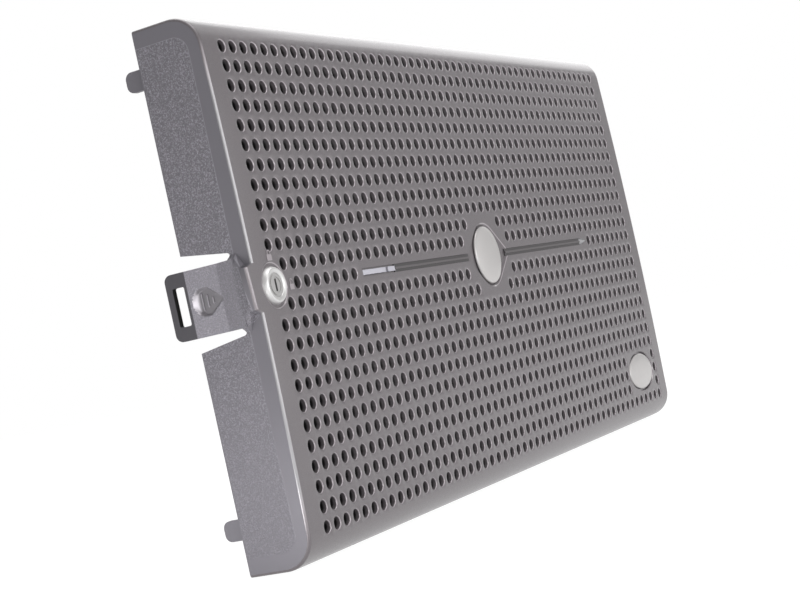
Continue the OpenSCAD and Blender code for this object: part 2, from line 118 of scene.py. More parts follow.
class Signal:
    """A number on its way through a material's nodes."""

    def __init__(self, finish, socket):
        self.finish = finish
        self.socket = socket

    def _math(self, operation, *inputs):
        return self.finish.add("ShaderNodeMath", {"operation": operation}, dict(enumerate(inputs)))

    def __add__(self, other):
        return self._math("ADD", self, other)

    __radd__ = __add__

    def __sub__(self, other):
        return self._math("SUBTRACT", self, other)

    def __rsub__(self, other):
        return self._math("SUBTRACT", other, self)

    def __mul__(self, other):
        return self._math("MULTIPLY", self, other)

    __rmul__ = __mul__

    def __abs__(self):
        return self._math("ABSOLUTE", self)

    def at_least(self, other):
        return self._math("MAXIMUM", self, other)

    def root(self):
        return self._math("SQRT", self)

    def over(self, edge, width):
        """0 below edge, 1 above edge + width."""
        return self.finish.add(
            "ShaderNodeMapRange",
            {"clamp": True, "interpolation_type": "SMOOTHSTEP"},
            {"Value": self, "From Min": edge, "From Max": edge + width},
        )


class Finish:
    """One material, built from nodes."""

    def __init__(self, name):
        self.material = bpy.data.materials.new(name)
        self.material.use_nodes = True
        self.tree = self.material.node_tree
        self.shader = self.tree.nodes["Principled BSDF"]
        self.place = self.add("ShaderNodeTexCoord", {}, {}, "Object")

    def add(self, kind, settings, inputs, output=0):
        node = self.tree.nodes.new(kind)
        for key, value in settings.items():
            setattr(node, key, value)
        for key, value in inputs.items():
            self.feed(node.inputs[key], value)
        return Signal(self, node.outputs[output])

    def feed(self, socket, value):
        if isinstance(value, Signal):
            self.tree.links.new(value.socket, socket)
        else:
            socket.default_value = value

    def set(self, **values):
        """Sets the shader's sockets, with _ for a space in a name."""
        for key, value in values.items():
            self.feed(self.shader.inputs[key.replace("_", " ")], value)
        return self

    def axes(self):
        node = self.tree.nodes.new("ShaderNodeSeparateXYZ")
        self.tree.links.new(self.place.socket, node.inputs[0])
        return [Signal(self, out) for out in node.outputs]

    def noise(self, size, detail=2.0, stretch=(1, 1, 1), roughness=0.5):
        """Noise whose grains are about size metres across."""
        moved = self.add("ShaderNodeMapping", {}, {"Vector": self.place, "Scale": stretch})
        return self.add(
            "ShaderNodeTexNoise",
            {},
            {"Vector": moved, "Scale": 1 / size, "Detail": detail, "Roughness": roughness},
        )

    def cells(self, size):
        return self.add("ShaderNodeTexVoronoi", {}, {"Vector": self.place, "Scale": 1 / size})

    def mix(self, factor, low, high):
        """Goes from the colour low to the colour high."""
        node = self.tree.nodes.new("ShaderNodeMix")
        node.data_type = "RGBA"
        self.feed(node.inputs[0], factor)
        self.feed(node.inputs[6], low)
        self.feed(node.inputs[7], high)
        return Signal(self, node.outputs[2])

    def bump(self, height, distance, strength=1.0):
        self.set(
            Normal=self.add(
                "ShaderNodeBump",
                {},
                {"Height": height, "Distance": distance, "Strength": strength},
            )
        )
        return self


def shade(colour, factor):
    return (*(min(1.0, c * factor) for c in colour[:3]), 1.0)


def face_paint(colour):
    """Satin metallic paint: a fine sparkle over a warm grey, with painted highlights on the hole lips, the front
    fillet and the groove's tip, and painted shade down in the holes.
    """
    f = Finish("face_paint")
    x, y, z = f.axes()
    high = z - MID_Z
    height = abs(high)
    rolled = (height - ROLL_START).at_least(0)
    level = height - rolled
    depth = y - FRONT_Y + CROWN - level * level * (CROWN / ROLL_START**2)
    depth = depth - rolled * rolled * (0.5 / ROLL)
    below = 1 - height.over(101 * MM, 0.5 * MM)
    fillet = abs(x).over(213 * MM, 0.1 * MM)

    def inside(x_middle, z_middle, a, b):
        across = (x - x_middle) * (1 / a)
        up = (high - z_middle) * (1 / b)
        return 1 - (across * across + up * up).over(0.98, 0.04)

    seats = inside(0, 0, 19.2 * MM, 19.2 * MM).at_least(inside(LOCK.x, 0, 10.2 * MM, 10.2 * MM))
    seats = seats.at_least(inside(OVAL.x, OVAL.z - MID_Z, 21 * MM, 11.8 * MM))
    seats = seats.at_least((1 - height.over(4.8 * MM, 0.1 * MM)) * (1 - abs(x).over(27 * MM, 0.1 * MM)))
    seats = seats.at_least((1 - height.over(2.1 * MM, 0.1 * MM)) * (1 - abs(x).over(GROOVE_RIGHT, 0.1 * MM)))
    in_hole = below * (1 - fillet) * (1 - seats)
    # painted highlight: the rounded lips of the holes and the front fillet are made lighter
    lip = depth.over(0.05 * MM, 0.12 * MM) * (1 - depth.over(0.42 * MM, 0.1 * MM) * (1 - fillet)) * below
    beside_lock = 1 - height.over(8.5 * MM, 1.5 * MM)
    lip = lip * (1 - fillet * height.over(78 * MM, 23 * MM)) * (1 - fillet * beside_lock * 0.6)
    # painted shade down in the holes: a little darker past 0.45 mm deep and near black past 1.3 mm, but not in
    # the seats or on the fillet
    shadow = depth.over(0.45 * MM, 0.1 * MM) * in_hole
    deep = depth.over(1.3 * MM, 1.1 * MM) * in_hole
    flake = f.noise(0.35 * MM, 3, roughness=0.7).over(0.36, 0.3)
    drift = f.noise(60 * MM, 2).over(0.3, 0.4)
    tone = f.mix(flake, shade(colour, 0.90), shade(colour, 1.10))
    tone = f.mix(drift * 0.25, tone, shade(colour, 0.90))
    # the lips take their painted highlight
    tone = f.mix(lip, tone, shade(colour, 2.2))
    # painted highlight along the front-left fillet, weaker beside the lock and fading towards the top and bottom
    bright = (1 - height.over(74 * MM, 27 * MM)) * (1 - beside_lock * 0.8)
    tone = f.mix(fillet * lip * bright, tone, (0.25, 0.245, 0.255, 1))
    # painted highlight on the pointed right end of the groove
    tip = (1 - abs(x - GROOVE_RIGHT + 3.6 * MM).over(3.6 * MM, 0.3 * MM)) * (1 - height.over(1.9 * MM, 0.1 * MM))
    tone = f.mix(tip * depth.over(0.08 * MM, 0.1 * MM), tone, (0.33, 0.33, 0.34, 1))
    # the holes take their painted shade
    tone = f.mix(shadow, tone, shade(colour, 0.9))
    tone = f.mix(deep, tone, shade(colour, 0.05))
    f.set(Base_Color=tone, Metallic=0.5, Roughness=f.noise(1.2 * MM, 2) * 0.08 + 0.33)
    f.set(Specular_IOR_Level=0.45, Coat_Weight=(1 - shadow) * (lip * 0.5 + 0.4), Coat_Roughness=0.12)
    return f.bump(flake, 0.012 * MM, 0.6).material


def bare_moulding_or_shade(colour):
    """The unpainted plastic inside the holes and on the back; made near black, it is also the painted shade in
    the tab's window.
    """
    f = Finish("bare_moulding_or_shade")
    cloud = f.noise(9 * MM, 3)
    f.set(Base_Color=f.mix(cloud, shade(colour, 0.85), shade(colour, 1.15)))
    f.set(Roughness=f.noise(0.8 * MM, 2) * 0.15 + 0.5, Specular_IOR_Level=0.4)
    return f.bump(f.noise(0.5 * MM, 2), 0.02 * MM, 0.5).material


def grain_paint(colour):
    """Satin cool grey whose end walls carry a grained field inside a smooth border."""
    f = Finish("grain_paint")
    x, y, z = f.axes()
    high = z - MID_Z
    # the field starts further forward on the pad beside the lock
    beside_lock = high.over(-15 * MM, 5 * MM) * (1 - high.over(9.4 * MM, 0.6 * MM))
    edge = FRONT_Y + 6.2 * MM
    start = beside_lock * (high * 0.147 + (FRONT_Y + 2.1 * MM - edge)) + edge
    corner = 7 * MM
    past_front = (start + corner - y).at_least(0)
    past_top = (abs(high) - (103 * MM - corner)).at_least(0)
    reach = (past_front * past_front + past_top * past_top).root()
    field = 1 - reach.over(corner - 0.4 * MM, 0.5 * MM)
    border = y.over(-0.6 * MM, 0.4 * MM)
    rim = field * (1 - field) * 4
    field = field * (1 - border)
    on_tab = 1 - abs(z - TAB.z).over(13.7 * MM, 0.2 * MM)
    behind_bend = on_tab * y.over(-15.4 * MM, 0.4 * MM)
    on_ramp = on_tab * y.over(FRONT_Y + 5 * MM, 3 * MM) * (1 - behind_bend)
    speck = f.noise(0.62 * MM, 2.5, roughness=0.65).over(0.42, 0.26)
    grit = f.noise(0.45 * MM, 2, roughness=0.6).over(0.35, 0.35)
    valley = beside_lock * (1 - y.over(FRONT_Y + 2 * MM, 1.2 * MM)) * high.over(-4 * MM, 14 * MM)
    # the grain and its outline are fainter towards the bottom
    grain_strength = high.over(-105 * MM, 150 * MM) * 0.6 + 0.36
    tone = f.mix(speck * field * grain_strength, shade(colour, 1), shade(colour, 2.1))
    tone = f.mix((1 - grit) * field * grain_strength * 0.4, tone, shade(colour, 0.6))
    # painted highlight along the edge of the grained field, on its upper part only
    tone = f.mix(rim * high.over(-60 * MM, 60 * MM) * 0.5, tone, shade(colour, 2))
    # painted light: the grain on the tab behind its bend is made lighter, as its tilt catches more light
    tone = f.mix(behind_bend * field * 0.35, tone, shade(colour, 2.4))
    # painted light: the grain on the tab's forward ramp is made lighter
    tone = f.mix(on_ramp * field * 0.3, tone, shade(colour, 2.0))
    tone = f.mix(behind_bend * border * 0.7, tone, shade(colour, 0.25))
    # painted shade in the hollow behind the pad's front edge, strongest at its top
    tone = f.mix(valley * 0.45, tone, shade(colour, 0.3))
    f.set(Base_Color=tone, Metallic=0.4, Specular_IOR_Level=0.4)
    f.set(Roughness=f.noise(1.5 * MM, 2) * 0.08 + 0.44)
    return f.bump((grit * 0.6 + speck) * field + f.noise(0.3 * MM, 2) * 0.06, 0.10 * MM, 0.8).material


def groove_paint(colour):
    """The groove's strip: dark, with painted shade in its channels and its raised rib painted lighter as a
    painted highlight.
    """
    f = Finish("groove_strip")
    x, y, z = f.axes()
    # painted highlight on the rib; the rest of the strip is darker as painted shade
    rib = 1 - y.over(FRONT_Y - 0.75 * MM, 0.2 * MM)
    f.set(Base_Color=f.mix(rib, shade(colour, 0.55), shade(colour, 0.9)), Metallic=0.3, Roughness=0.4)
    return f.bump(f.noise(0.4 * MM, 2), 0.01 * MM, 0.3).material


def dish_paint(colour):
    """The smooth paint in the tab's finger dish, with a painted highlight on its heel and, half as strong, on its
    ribs, which are also a little less rough.
    """
    f = Finish("dish_paint")
    x, y, z = f.axes()
    # painted highlight on the heel of the dish
    heel_and_rib_highlight = y.over(-4.6 * MM, 1.8 * MM)
    for place, half in RIBS:
        rib = 1 - abs(y - place * MM).over(0.15 * MM, 0.2 * MM)
        rib = rib * (1 - abs(z - TAB.z).over((half - 0.5) * MM, 0.6 * MM))
        heel_and_rib_highlight = heel_and_rib_highlight.at_least(rib * 0.5)
    f.set(Base_Color=f.mix(heel_and_rib_highlight, shade(colour, 1), shade(colour, 2.3)), Metallic=0.55)
    f.set(Roughness=0.42 - heel_and_rib_highlight * 0.05)
    return f.bump(f.noise(0.3 * MM, 2), 0.01 * MM, 0.3).material


def satin_metal(name, colour, roughness, grain=(1, 1, 1), metallic=1.0):
    """Plated or brushed metal with a fine grain and faint handling marks."""
    f = Finish(name)
    line = f.noise(0.25 * MM, 3, grain, 0.7)
    cloud = f.noise(6 * MM, 3).over(0.35, 0.4)
    f.set(Base_Color=f.mix(line, shade(colour, 0.92), shade(colour, 1.05)), Metallic=metallic)
    f.set(Roughness=roughness + line * 0.08 + cloud * 0.05)
    return f.bump(line, 0.01 * MM, 0.4).material


def plain_plastic(name, colour, roughness, coat=0.0):
    f = Finish(name)
    cloud = f.noise(4 * MM, 3)
    f.set(Base_Color=f.mix(cloud, shade(colour, 0.9), shade(colour, 1.1)), Coat_Weight=coat)
    f.set(Roughness=roughness + f.noise(0.6 * MM, 2) * 0.1)
    return f.bump(f.noise(0.4 * MM, 2), 0.01 * MM, 0.3).material


def clear_plastic(name, colour):
    """A clear moulding with a faint haze."""
    f = Finish(name)
    haze = f.noise(2 * MM, 2)
    f.set(Base_Color=f.mix(haze, shade(colour, 0.94), shade(colour, 1.0)), Coat_Weight=0.5)
    f.set(Roughness=haze * 0.1 + 0.12, Transmission_Weight=0.35, IOR=1.49)
    return f.material


def dress(node, material):
    """Gives a solid its material."""
    mesh = NODES[node].data
    mesh.materials.clear()
    mesh.materials.append(material)


# Mesh helpers


def new_piece(name, bm, materials, body):
    mesh = bpy.data.meshes.new(name)
    bm.to_mesh(mesh)
    bm.free()
    piece = bpy.data.objects.new(name, mesh)
    bpy.context.scene.collection.objects.link(piece)
    for material in materials:
        mesh.materials.append(material)
    if body:
        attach(piece, body)
    return piece


def on_lip(v):
    """Is this vertex on the rounded lip of an air hole?"""
    x = (math.floor(v.co.x / PITCH) + 0.5) * PITCH
    z = round((v.co.z - MID_Z) / PITCH) * PITCH
    from_axis = math.hypot(v.co.x - x, v.co.z - MID_Z - z)
    return from_axis < HOLE + LIP + 0.05 * MM and v.co.y < FRONT_Y + 1 * MM and has_hole(x, z)


def smooth(bm, angle, lips=False):
    """Smooth faces with sharp edges over an angle in degrees. Lips stay smooth at any angle."""
    limit = math.radians(angle)
    for face in bm.faces:
        face.smooth = True
    for edge in bm.edges:
        edge.smooth = len(edge.link_faces) == 2 and (
            edge.calc_face_angle(0) < limit or (lips and all(on_lip(v) for v in edge.verts))
        )


def weigh_normals(piece):
    piece.modifiers.new("even shading", "WEIGHTED_NORMAL").keep_sharp = True


def lathe(bm, outline, centre, axis, steps=64):
    """Spins (radius, along) points about an axis through centre. Closed if it ends on the axis."""
    turn = axis.to_track_quat("Z", "Y").to_matrix()
    verts = [bm.verts.new(centre + turn @ Vector((r, 0, a))) for r, a in outline]
    edges = [bm.edges.new(pair) for pair in zip(verts, verts[1:])]
    made = bmesh.ops.spin(
        bm, geom=verts + edges, cent=centre, axis=axis, steps=steps, angle=math.tau, use_merge=True
    )
    del made
    bmesh.ops.remove_doubles(bm, verts=bm.verts, dist=1e-7)


def prism(bm, outline, n_low, n_high, centre=(0, 0), flare=1.0):
    """A block on a flat outline of (x, s), from n_low to n_high, where it is flare times as large."""
    face = bm.faces.new([bm.verts.new((x, s, n_low)) for x, s in outline])
    bmesh.ops.recalc_face_normals(bm, faces=[face])
    if face.normal.z > 0:
        face.normal_flip()
    made = bmesh.ops.extrude_face_region(bm, geom=[face])["geom"]
    lid = [v for v in made if isinstance(v, bmesh.types.BMVert)]
    for v in lid:
        v.co = (
            centre[0] + (v.co.x - centre[0]) * flare, centre[1] + (v.co.y - centre[1]) * flare, n_high
        )


def ring_points(x, s, a, b, count):
    return [
        (x + a * math.cos(math.tau * i / count), s + b * math.sin(math.tau * i / count))
        for i in range(count)
    ]


# The face panel


def section_point(x, s, n):
    """From flat x, s, n to a place on the bent panel."""
    side = 1 if s >= 0 else -1
    t = abs(s)
    if t <= ROLL_START:
        y = FRONT_Y - CROWN * (1 - (t / ROLL_START) ** 2)
        return Vector((x, y - n, MID_Z + side * t))
    if t <= FLANGE_START:
        turn = (t - ROLL_START) / ROLL
        r = ROLL + n
        return Vector(
            (x, FRONT_Y + ROLL - r * math.cos(turn), MID_Z + side * (ROLL_START + r * math.sin(turn)))
        )
    return Vector((x, FRONT_Y + ROLL + t - FLANGE_START, MID_Z + side * (HALF_H + n)))


def has_hole(x, z):
    """Is there an air hole at this place of the grid?"""
    if math.hypot(x - LOCK.x, z) < 11.85 * MM or math.hypot(x, z) < 22.55 * MM:
        return False
    if abs(z) < PITCH / 2 and abs(x) < GROOVE_RIGHT + HOLE:
        return False
    return math.hypot((x - OVAL.x) / 22.85, (z - (OVAL.z - MID_Z)) / 14.05) >= MM


def cell_mesh(with_hole):
    """One square of the panel, with or without its hole. Its rings are welded by bridging."""
    bm = bmesh.new()
    half = PITCH / 2
    rings = []
    levels = [(None, 0.0), (HOLE + LIP, 0.0), (HOLE, -LIP), (HOLE, -WALL), (None, -WALL)]
    if not with_hole:
        levels = [(None, 0.0), (None, -WALL)]
    for radius, n in levels:
        verts = bmesh.ops.create_circle(bm, segments=16, radius=radius or 1)["verts"]
        for v in verts:
            if radius is None:
                v.co *= half / max(abs(v.co.x), abs(v.co.y))
            v.co.z = n
        rings.append(sorted({e for v in verts for e in v.link_edges}, key=lambda e: e.index))
        if not with_hole:
            face = bm.faces.new(verts)
            if (face.normal_update() or face.normal.z > 0) != (n == 0.0):
                face.normal_flip()
    if with_hole:
        for near, far in zip(rings, rings[1:]):
            bmesh.ops.bridge_loops(bm, edges=near + far)
        bmesh.ops.recalc_face_normals(bm, faces=bm.faces)
        # an open sheet can come out inside out
        if sum(f.normal.z * f.calc_area() for f in bm.faces if f.calc_center_median().z > -0.1 * MM) < 0:
            bmesh.ops.reverse_faces(bm, faces=bm.faces)
    for face in bm.faces:
        face.material_index = 2 if face.calc_center_median().z < -0.9 * WALL else 0
    mesh = bpy.data.meshes.new("cell")
    bm.to_mesh(mesh)
    bm.free()
    return mesh


def grid_of_cells():
    bm = bmesh.new()
    cells = {flag: cell_mesh(flag) for flag in (True, False)}
    for column in range(COLUMNS):
        for row in range(ROWS):
            x = (column - (COLUMNS - 1) / 2) * PITCH
            s = (row - (ROWS - 1) / 2) * PITCH
            mesh = cells[has_hole(x, s)]
            mesh.transform(Matrix.Translation((x, s, 0)))
            bm.from_mesh(mesh)
            mesh.transform(Matrix.Translation((-x, -s, 0)))
    for mesh in cells.values():
        bpy.data.meshes.remove(mesh)
    bmesh.ops.remove_doubles(bm, verts=bm.verts, dist=1e-6)
    return bm


def push_edge(bm, edges, steps, material=None):
    """Extrudes open edges through (move, or None) steps; a step moves x, s and n."""
    for step in steps:
        made = bmesh.ops.extrude_edge_only(bm, edges=edges)["geom"]
        edges = [g for g in made if isinstance(g, bmesh.types.BMEdge)]
        verts = [g for g in made if isinstance(g, bmesh.types.BMVert)]
        bmesh.ops.translate(bm, verts=verts, vec=step)
        if material is not None:
            for g in made:
                if isinstance(g, bmesh.types.BMFace):
                    g.material_index = material
    return edges


def open_edges(bm, n, axis, place):
    """The open edges of the sheet at depth n that lie at place along axis."""
    return [
        e
        for e in bm.edges
        if len(e.link_faces) == 1
        and all(abs(v.co.z - n) < 1e-6 and abs(v.co[axis] - place) < 1e-5 for v in e.verts)
    ]


def pad_reach(s):
    """How far the pad stands out from the end wall at this height."""
    for (top, out_top), (low, out_low) in zip(PAD, PAD[1:]):
        if low * PAD_H <= s <= top * PAD_H:
            return PAD_OUT * (out_top + (out_low - out_top) * (top * PAD_H - s) / ((top - low) * PAD_H))
    return 0.0


def flat_panel():
    bm = grid_of_cells()
    edge_s = ROWS * PITCH / 2
    edge_x = COLUMNS * PITCH / 2
    arc = 10
    first = FLANGE_START - edge_s
    for n in (0.0, -WALL):
        material = 0 if n == 0.0 else 2
        for side in (-1, 1):
            steps = [Vector((0, side * first / arc, 0))] * arc
            steps += [Vector((0, side * (SECTION_END - FLANGE_START) / 3, 0))] * 3
            push_edge(bm, open_edges(bm, n, 1, side * edge_s), steps, material)
    turns = [math.radians(15 * i) for i in range(7)]
    arcs = [(math.sin(t) * FILLET, (math.cos(t) - 1) * FILLET) for t in turns]
    for side in (-1, 1):
        flat = HALF_W - FILLET - edge_x
        steps = [Vector((side * flat / 2, 0, 0))] * 2
        steps += [
            Vector((side * (b[0] - a[0]), 0, b[1] - a[1])) for a, b in zip(arcs, arcs[1:])
        ]
        edges = push_edge(bm, open_edges(bm, 0.0, 0, side * edge_x), steps, 0)
        push_edge(bm, edges, [Vector((0, 0, FILLET - WALL))], 1)
        steps = [Vector((side * (HALF_W - edge_x) / 3, 0, 0))] * 3
        push_edge(bm, open_edges(bm, -WALL, 0, side * edge_x), steps, 2)
    for side in (-1, 1):
        rim = [
            e
            for e in bm.edges
            if len(e.link_faces) == 1
            and all(abs(v.co.y - side * SECTION_END) < 1e-6 and v.co.z > -WALL + 1e-6 for v in e.verts)
            and abs(e.verts[0].co.x - e.verts[1].co.x) > 1e-7
        ]
        made = bmesh.ops.extrude_edge_only(bm, edges=rim)["geom"]
        for g in made:
            if isinstance(g, bmesh.types.BMVert):
                g.co.z = -WALL
            elif isinstance(g, bmesh.types.BMFace):
                g.material_index = 2
    bmesh.ops.remove_doubles(bm, verts=bm.verts, dist=2e-6)
    # the face runs out past the end wall beside the lock
    for cut, _ in PAD:
        strip = [f for f in bm.faces if f.calc_center_median().x < -edge_x]
        geom = strip + list({e for f in strip for e in f.edges}) + list({v for f in strip for v in f.verts})
        bmesh.ops.bisect_plane(bm, geom=geom, dist=1e-7, plane_co=(0, cut * PAD_H, 0), plane_no=(0, 1, 0))
    for v in bm.verts:
        if v.co.x < -HALF_W + FILLET + 1e-6:
            v.co.x -= pad_reach(v.co.y)
    bmesh.ops.recalc_face_normals(bm, faces=bm.faces)
    return bm


def cutter(name, build):
    bm = bmesh.new()
    build(bm)
    bmesh.ops.recalc_face_normals(bm, faces=bm.faces)
    mesh = bpy.data.meshes.new(name)
    bm.to_mesh(mesh)
    bm.free()
    return bpy.data.objects.new(name, mesh)


def seat_cutters():
    """The lock's dish and bore, the groove, the badge seats and the slots of the two lenses."""
    def dish(bm):
        lathe(
            bm,
            [
                (0, -0.8 * MM), (8.6 * MM, -0.8 * MM), (9.2 * MM, -0.3 * MM),
                (9.6 * MM, 0.05 * MM), (9.9 * MM, 1 * MM), (0, 1 * MM),
            ],
            Vector((LOCK.x, 0, 0)),
            Vector((0, 0, 1)),
        )

    def bore(bm):
        lathe(
            bm,
            [(0, -5 * MM), (6.3 * MM, -5 * MM), (6.3 * MM, 0), (0, 0)],
            Vector((LOCK.x, 0, 0)),
            Vector((0, 0, 1)),
        )

    def groove(bm):
        h = GROOVE_H / 2
        end = GROOVE_RIGHT - 8 * MM
        prism(bm, [(GROOVE_LEFT, -h), (end, -h), (end, h), (GROOVE_LEFT, h)], -SEAT_DEPTH, 1 * MM)

    def ramp(bm):
        h = GROOVE_H / 2
        end = GROOVE_RIGHT - 8 * MM
        prism(bm, [(end - 0.1 * MM, -h), (GROOVE_RIGHT, 0), (end - 0.1 * MM, h)], -SEAT_DEPTH, 1 * MM)
        for v in bm.verts:
            if v.co.x > end and v.co.z < 0:
                v.co.z = -0.1 * MM

    def seat(bm):
        # a round seat drawn out to a point on each side
        touch = math.acos(SEAT_R / EYE_HALF)
        points = []
        for base in (0, math.pi):
            points.append((EYE_HALF * math.cos(base), 0))
            for i in range(25):
                t = base + touch + (math.pi - 2 * touch) * i / 24
                points.append((SEAT_R * math.cos(t), SEAT_R * math.sin(t)))
        points = [(x * 0.94, s * 0.94) for x, s in points]
        prism(bm, points, -SEAT_DEPTH, 1 * MM, flare=1.18)

    def oval(bm):
        middle = OVAL.x, OVAL.z - MID_Z
        points = ring_points(*middle, 19.9 * MM, 11.1 * MM, 56)
        prism(bm, points, -SEAT_DEPTH, 1 * MM, middle, 1.07)

    def slot(low, high):
        def build(bm):
            x0, x1 = low.x + LENS_LIP, high.x - LENS_LIP
            h = (high.z - low.z) / 2 - LENS_LIP
            prism(bm, [(x0, -h), (x1, -h), (x1, h), (x0, h)], -5 * MM, -1 * MM)

        return build

    parts = [("dish", dish), ("bore", bore), ("groove", groove), ("ramp", ramp), ("seat", seat), ("oval", oval)]
    parts += [(f"slot{i}", slot(low, high)) for i, (low, high, _) in enumerate(LENSES)]
    return [cutter(name, build) for name, build in parts]


def carve(bm, cutters):
    """Takes the cutters out of the flat panel, exactly."""
    mesh = bpy.data.meshes.new("flat")
    bm.to_mesh(mesh)
    bm.free()
    for i in range(3):
        mesh.materials.append(None)
    flat = bpy.data.objects.new("flat", mesh)
    collection = bpy.context.scene.collection
    collection.objects.link(flat)
    for tool in cutters:
        collection.objects.link(tool)
        cut = flat.modifiers.new(tool.name, "BOOLEAN")
        cut.operation = "DIFFERENCE"
        cut.solver = "EXACT"
        cut.object = tool
    bpy.context.view_layer.update()
    bm = bmesh.new()
    bm.from_object(flat, bpy.context.evaluated_depsgraph_get())
    for tool in [*cutters, flat]:
        old = tool.data
        bpy.data.objects.remove(tool)
        bpy.data.meshes.remove(old)
    return bm


def back_bosses(bm):
    """The screw bosses and the lock's boss on the back of the face."""
    low, high, middle = size_of("left_cap_screws")
    seat_y = PANEL_LOW.y + WALL
    back = Vector((0, 1, 0))
    start = len(bm.faces)
    for side in (1, -1):
        for z in (25.5, 65.5, 155.5, 195.5):
            depth = section_point(0, z * MM - MID_Z, -WALL + 0.1 * MM).y
            lathe(
                bm,
                [
                    (1.5 * MM, depth), (3.5 * MM, depth), (3.5 * MM, -22.0 * MM),
                    (1.5 * MM, -22.0 * MM), (1.5 * MM, depth),
                ],
                Vector((side * middle.x, 0, z * MM)),
                back,
                24,
            )
    lathe(
        bm,
        [
            (6.3 * MM, seat_y - 0.1 * MM), (9 * MM, seat_y - 0.1 * MM), (9 * MM, seat_y + 3.6 * MM),
            (6.3 * MM, seat_y + 3.6 * MM), (6.3 * MM, seat_y - 0.1 * MM),
        ],
        Vector((LOCK.x, 0, MID_Z)),
        back,
    )
    bm.faces.ensure_lookup_table()
    for face in bm.faces[start:]:
        face.material_index = 2


def face_shell(paint, border, moulding):
    bm = carve(flat_panel(), seat_cutters())
    for v in bm.verts:
        v.co = section_point(*v.co)
    bmesh.ops.reverse_faces(bm, faces=bm.faces)
    back_bosses(bm)
    bmesh.ops.recalc_face_normals(bm, faces=bm.faces)
    smooth(bm, 30, lips=True)
    piece = new_piece("face_shell", bm, [paint, border, moulding], "shell")
    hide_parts("face_panel")
    weigh_normals(piece)
    return piece


# The ends


def end_outline(notch):
    """Outline of an end wall as (y, z), inside the fillet of the panel, with room for the tab."""
    steps = 96
    points = []
    for i in range(steps + 1):
        place = section_point(0, SECTION_END * (1 - 2 * i / steps), -FILLET + 0.15 * MM)
        points.append((place.y, place.z))
    if notch:
        half = (TAB_HIGH.z - TAB_LOW.z) / 2
        slot = 1.45 * MM
        slot_y = TAB_LOW.y - 0.3 * MM + slot - 0.4 * MM
        side = [(0, half + 6.05 * MM)]
        for i in range(9):
            t = math.radians(90 + 12 * i)
            side.append((slot_y + slot * math.cos(t), half + slot + slot * math.sin(t)))
        points += [(y, TAB.z - h) for y, h in side]
        points += [(y, TAB.z + h) for y, h in reversed(side)]
    return points


def end_skin(name, side, paint):
    """Paint over an end wall, which also covers the panel's edge."""
    bm = bmesh.new()
    outside = side * (HALF_W + 0.05 * MM)
    face = bm.faces.new([bm.verts.new((outside, y, z)) for y, z in end_outline(side < 0)])
    made = bmesh.ops.extrude_face_region(bm, geom=[face])["geom"]
    for v in made:
        if isinstance(v, bmesh.types.BMVert):
            v.co.x -= side * 0.4 * MM
    bmesh.ops.triangulate(bm, faces=[f for f in bm.faces if len(f.verts) > 4])
    bmesh.ops.recalc_face_normals(bm, faces=bm.faces)
    return new_piece(name, bm, [paint], "shell")


def ramp_out(y):
    """How far the pad and the root of the tab stand out from the wall at y."""
    return 4.5 * MM - RAMP * (y - FRONT_Y)


def tab_out(y):
    """How far the tab's outer face stands out from the end wall at y."""
    bend = FRONT_Y + 15.5 * MM
    return ramp_out(y) if y < bend else 1.8 * MM * (y - bend) / (TAB_HIGH.y - bend)


RIBS = ((-5.4, 3.8), (-8.0, 2.8), (-10.6, 1.6))


def grip_depth(y, h):
    """Depth of the finger dish: a sloping round heel, and a floor that rises to a point."""
    heel, foot, tip, radius = -1.5, -4.2, -16.0, 5.8
    h = abs(h)
    turn = heel - radius
    if y > turn - 1.5:
        width = math.sqrt(max(0.0, radius**2 - max(0.0, y - turn) ** 2))
    else:
        width = radius * (y - tip) / (turn - 1.5 - tip)
    floor = 1.8 * (y - tip) / (foot - tip)
    edge = turn + math.sqrt(max(0.0, radius**2 - h * h))
    share = (edge - y) / (edge - foot) if edge > foot + 0.05 else 9
    slope = 1.8 * math.sin(math.pi / 2 * min(1, max(0, share)))
    depth = min(floor, slope, (width - h) * 1.5)
    for place, half in RIBS:
        if h < half and abs(y - place) < 0.3 and depth > 0.3:
            depth -= 0.5 * min(1, (half - h) / 0.5)
    return max(0.0, depth)


